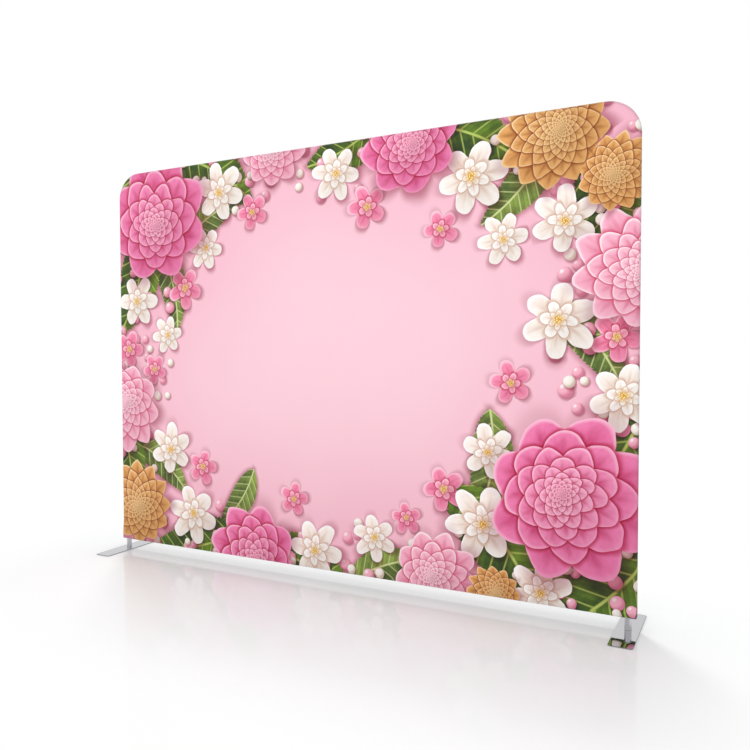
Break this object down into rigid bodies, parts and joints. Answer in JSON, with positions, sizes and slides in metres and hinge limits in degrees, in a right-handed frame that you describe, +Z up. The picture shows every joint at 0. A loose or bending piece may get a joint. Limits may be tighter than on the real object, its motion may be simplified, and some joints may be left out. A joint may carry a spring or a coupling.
{
  "type": "tension fabric backdrop",
  "caption": "Free-standing display wall: a printed stretch-fabric cover zipped over a plug-together tube frame with rounded top corners, standing on flat steel foot plates.",
  "frame": {"origin": "on the floor, midway between the feet and in the middle of the panel's thickness", "axes": "+X along the panel to the right seen from the printed front, +Y to the back, +Z up"},
  "size_m": [3.016, 0.425, 2.256],
  "materials": {
    "cover_fabric": "dye-sublimation printed knitted polyester",
    "zip_nylon": "woven and coiled nylon",
    "zip_metal": "nickel-plated zinc",
    "frame_tube": "drawn",
    "frame_rail": "extruded",
    "moulded_nylon": "moulded",
    "post_steel": "satin",
    "plate_steel": "mirror polished",
    "pad_rubber": "matt",
    "spring_steel": "tempered and nickel plated"
  },
  "bodies": {
    "frame_and_cover": {"fabric_cover": "cover_fabric", "zip_chain": "zip_nylon", "top_rail_left": "frame_tube", "top_rail_right": "frame_tube", "bottom_rail_left": "frame_rail", "bottom_rail_right": "frame_rail", "left_lower_upright": "frame_tube", "left_upper_upright": "frame_tube", "left_corner_bend": "frame_tube", "left_corner_block": "moulded_nylon", "left_foot_post": "post_steel", "left_foot_plate": "plate_steel", "left_front_pad": "pad_rubber", "left_rear_pad": "pad_rubber", "right_lower_upright": "frame_tube", "right_upper_upright": "frame_tube", "right_corner_bend": "frame_tube", "right_corner_block": "moulded_nylon", "right_foot_post": "post_steel", "right_foot_plate": "plate_steel", "right_front_pad": "pad_rubber", "right_rear_pad": "pad_rubber", "centre_pole_lower": "frame_tube", "centre_pole_upper": "frame_tube", "pole_bottom_saddle": "moulded_nylon", "pole_top_saddle": "moulded_nylon", "top_middle_clip_spring": "spring_steel", "bottom_middle_clip_spring": "spring_steel", "pole_clip_spring": "spring_steel", "left_foot_clip_spring": "spring_steel", "left_upright_clip_spring": "spring_steel", "left_shoulder_clip_spring": "spring_steel", "left_top_clip_spring": "spring_steel", "right_foot_clip_spring": "spring_steel", "right_upright_clip_spring": "spring_steel", "right_shoulder_clip_spring": "spring_steel", "right_top_clip_spring": "spring_steel"},
    "top_middle_button": {"top_middle_snap_button": "spring_steel"},
    "bottom_middle_button": {"bottom_middle_snap_button": "spring_steel"},
    "pole_button": {"pole_snap_button": "spring_steel"},
    "left_foot_button": {"left_foot_snap_button": "spring_steel"},
    "left_upright_button": {"left_upright_snap_button": "spring_steel"},
    "left_shoulder_button": {"left_shoulder_snap_button": "spring_steel"},
    "left_top_button": {"left_top_snap_button": "spring_steel"},
    "right_foot_button": {"right_foot_snap_button": "spring_steel"},
    "right_upright_button": {"right_upright_snap_button": "spring_steel"},
    "right_shoulder_button": {"right_shoulder_snap_button": "spring_steel"},
    "right_top_button": {"right_top_snap_button": "spring_steel"},
    "slider": {"zip_slider": "zip_metal"},
    "puller": {"zip_puller": "zip_metal"}
  },
  "joints": [
    {"name": "top_middle_button_press", "type": "slide", "parent": "frame_and_cover", "child": "top_middle_button", "axis": [0, 0, 1], "range_m": [0, 0.0043], "stiffness_N_per_m": 1500},
    {"name": "bottom_middle_button_press", "type": "slide", "parent": "frame_and_cover", "child": "bottom_middle_button", "axis": [0, 0, -1], "range_m": [0, 0.0043], "stiffness_N_per_m": 1500},
    {"name": "pole_button_press", "type": "slide", "parent": "frame_and_cover", "child": "pole_button", "axis": [-1, 0, 0], "range_m": [0, 0.0043], "stiffness_N_per_m": 1500},
    {"name": "left_foot_button_press", "type": "slide", "parent": "frame_and_cover", "child": "left_foot_button", "axis": [0, -1, 0], "range_m": [0, 0.0043], "stiffness_N_per_m": 1500},
    {"name": "left_upright_button_press", "type": "slide", "parent": "frame_and_cover", "child": "left_upright_button", "axis": [-1, 0, 0], "range_m": [0, 0.0043], "stiffness_N_per_m": 1500},
    {"name": "left_shoulder_button_press", "type": "slide", "parent": "frame_and_cover", "child": "left_shoulder_button", "axis": [-1, 0, 0], "range_m": [0, 0.0043], "stiffness_N_per_m": 1500},
    {"name": "left_top_button_press", "type": "slide", "parent": "frame_and_cover", "child": "left_top_button", "axis": [0, 0, 1], "range_m": [0, 0.0043], "stiffness_N_per_m": 1500},
    {"name": "right_foot_button_press", "type": "slide", "parent": "frame_and_cover", "child": "right_foot_button", "axis": [0, -1, 0], "range_m": [0, 0.0043], "stiffness_N_per_m": 1500},
    {"name": "right_upright_button_press", "type": "slide", "parent": "frame_and_cover", "child": "right_upright_button", "axis": [1, 0, 0], "range_m": [0, 0.0043], "stiffness_N_per_m": 1500},
    {"name": "right_shoulder_button_press", "type": "slide", "parent": "frame_and_cover", "child": "right_shoulder_button", "axis": [1, 0, 0], "range_m": [0, 0.0043], "stiffness_N_per_m": 1500},
    {"name": "right_top_button_press", "type": "slide", "parent": "frame_and_cover", "child": "right_top_button", "axis": [0, 0, 1], "range_m": [0, 0.0043], "stiffness_N_per_m": 1500},
    {"name": "zip_slide", "type": "slide", "parent": "frame_and_cover", "child": "slider", "axis": [-1, 0, 0], "range_m": [0, 2.73]},
    {"name": "puller_swing", "type": "hinge", "parent": "slider", "child": "puller", "pos_m": [1.365, 0.0226, 0.106], "axis": [0, 0, -1], "range_deg": [0, 180]}
  ]
}
